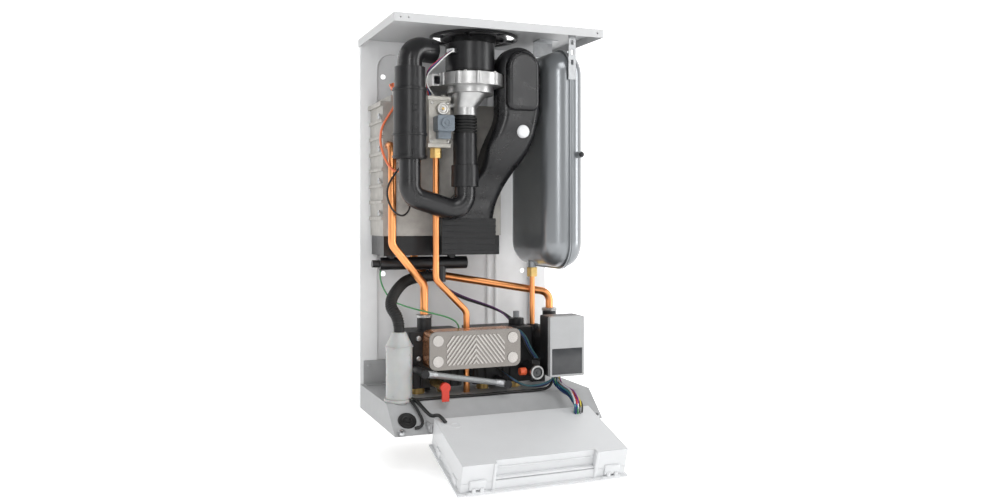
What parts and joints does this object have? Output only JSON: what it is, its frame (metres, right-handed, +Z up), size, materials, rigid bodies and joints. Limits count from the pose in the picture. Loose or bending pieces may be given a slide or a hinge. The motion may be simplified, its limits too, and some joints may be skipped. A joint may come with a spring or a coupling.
{
  "type": "condensing gas boiler",
  "caption": "Wall-hung condensing gas boiler with its front casing off: heat exchanger, fan, gas valve, pump, expansion vessel, trap and hinged control box on a sheet chassis.",
  "frame": {"origin": "middle of the four wall bolt holes, on the wall plane", "axes": "+X to the right seen from the front, +Y into the wall, +Z up"},
  "size_m": [0.4, 0.4249, 0.8033],
  "materials": {
    "white_sheet": "satin white paint",
    "zinc_sheet": "zinc plated",
    "black_plastic": "satin black",
    "black_rubber": "matt",
    "cast_aluminium": "as cast",
    "burner_steel": "bare",
    "fan_plastic": "moulded",
    "coil_plastic": "blue grey",
    "copper": "drawn copper",
    "brass": "turned",
    "vessel_paint": "gloss dark grey",
    "grey_composite": "glass filled plastic",
    "plate_steel": "brazed stainless",
    "pump_grey": "moulded grey",
    "red_plastic": "moulded red",
    "cap_plastic": "moulded",
    "braid": "steel braid",
    "trap_plastic": "natural white",
    "hose_rubber": "ribbed black",
    "white_plastic": "moulded white",
    "board": "green laminate",
    "display": "smoked window",
    "button": "moulded grey"
  },
  "bodies": {
    "chassis": {"back_panel": "white_sheet", "top_panel": "white_sheet", "base_tray": "white_sheet", "tray_brackets": "zinc_sheet", "vessel_strap": "zinc_sheet", "vessel_hanger": "zinc_sheet", "flue_adapter": "black_plastic", "flue_duct": "black_plastic", "flue_collector": "black_plastic", "mixer_tube": "black_plastic", "air_silencer": "black_plastic", "intake_elbow": "black_plastic", "drain_manifold": "black_plastic", "fan_motor_cover": "black_plastic", "condensate_tray": "black_plastic", "air_vent": "black_plastic", "relief_valve": "black_plastic", "rubber_sleeve": "black_rubber", "air_hose": "black_rubber", "ignition_lead": "black_rubber", "box_harness": "black_rubber", "vessel_diaphragm": "black_rubber", "heat_exchanger": "cast_aluminium", "burner_door": "cast_aluminium", "fan_housing": "cast_aluminium", "fan_venturi": "cast_aluminium", "gas_valve_body": "cast_aluminium", "burner": "burner_steel", "ignition_electrode": "burner_steel", "gas_valve_coil": "coil_plastic", "gas_pipe": "copper", "flow_pipe": "copper", "return_pipe": "copper", "vessel_pipe": "copper", "gas_nut": "brass", "vessel_nut": "brass", "bottom_tails": "brass", "fill_valve_body": "brass", "hose_fittings": "brass", "vessel_left_shell": "vessel_paint", "vessel_right_shell": "vessel_paint", "left_hydraulic_block": "grey_composite", "right_hydraulic_block": "grey_composite", "pump_volute": "grey_composite", "plate_exchanger": "plate_steel", "pump_box": "pump_grey", "fill_hose": "braid", "trap_body": "trap_plastic", "trap_cap": "trap_plastic", "condensate_hose": "hose_rubber"},
    "fan_rotor": {"fan_impeller": "fan_plastic"},
    "pump_rotor": {"pump_rotor": "fan_plastic"},
    "fill_handle": {"fill_handle": "red_plastic"},
    "relief_knob": {"relief_knob": "red_plastic"},
    "vent_cap": {"air_vent_cap": "cap_plastic"},
    "control_box": {"control_base": "white_plastic", "control_cover": "white_plastic", "control_board": "board", "display_window": "display"},
    "button": {"control_button": "button"}
  },
  "joints": [
    {"name": "control_box_hinge", "type": "hinge", "parent": "chassis", "child": "control_box", "pos_m": [0, -0.268, -0.443], "axis": [-1, 0, 0], "range_deg": [0, 107], "deforming": ["box_harness"]},
    {"name": "fan_spin", "type": "hinge", "parent": "chassis", "child": "fan_rotor", "pos_m": [-0.035, -0.188, 0.166], "axis": [0, 0, 1], "continuous": true},
    {"name": "pump_spin", "type": "hinge", "parent": "chassis", "child": "pump_rotor", "pos_m": [0.138, -0.18, -0.331], "axis": [0, 1, 0], "continuous": true},
    {"name": "fill_handle_turn", "type": "hinge", "parent": "chassis", "child": "fill_handle", "pos_m": [-0.098, -0.232, -0.384], "axis": [0, 1, 0], "range_deg": [0, 90]},
    {"name": "relief_knob_turn", "type": "hinge", "parent": "chassis", "child": "relief_knob", "pos_m": [0.064, -0.203, -0.37], "axis": [-1, 0, 0], "range_deg": [0, 90]},
    {"name": "vent_cap_turn", "type": "hinge", "parent": "chassis", "child": "vent_cap", "pos_m": [0.086, -0.12, -0.273], "axis": [0, 0, 1], "range_deg": [0, 180]},
    {"name": "button_press", "type": "slide", "parent": "control_box", "child": "button", "axis": [0, -0.2924, 0.9563], "range_m": [0, 0.0015], "stiffness_N_per_m": 400}
  ]
}
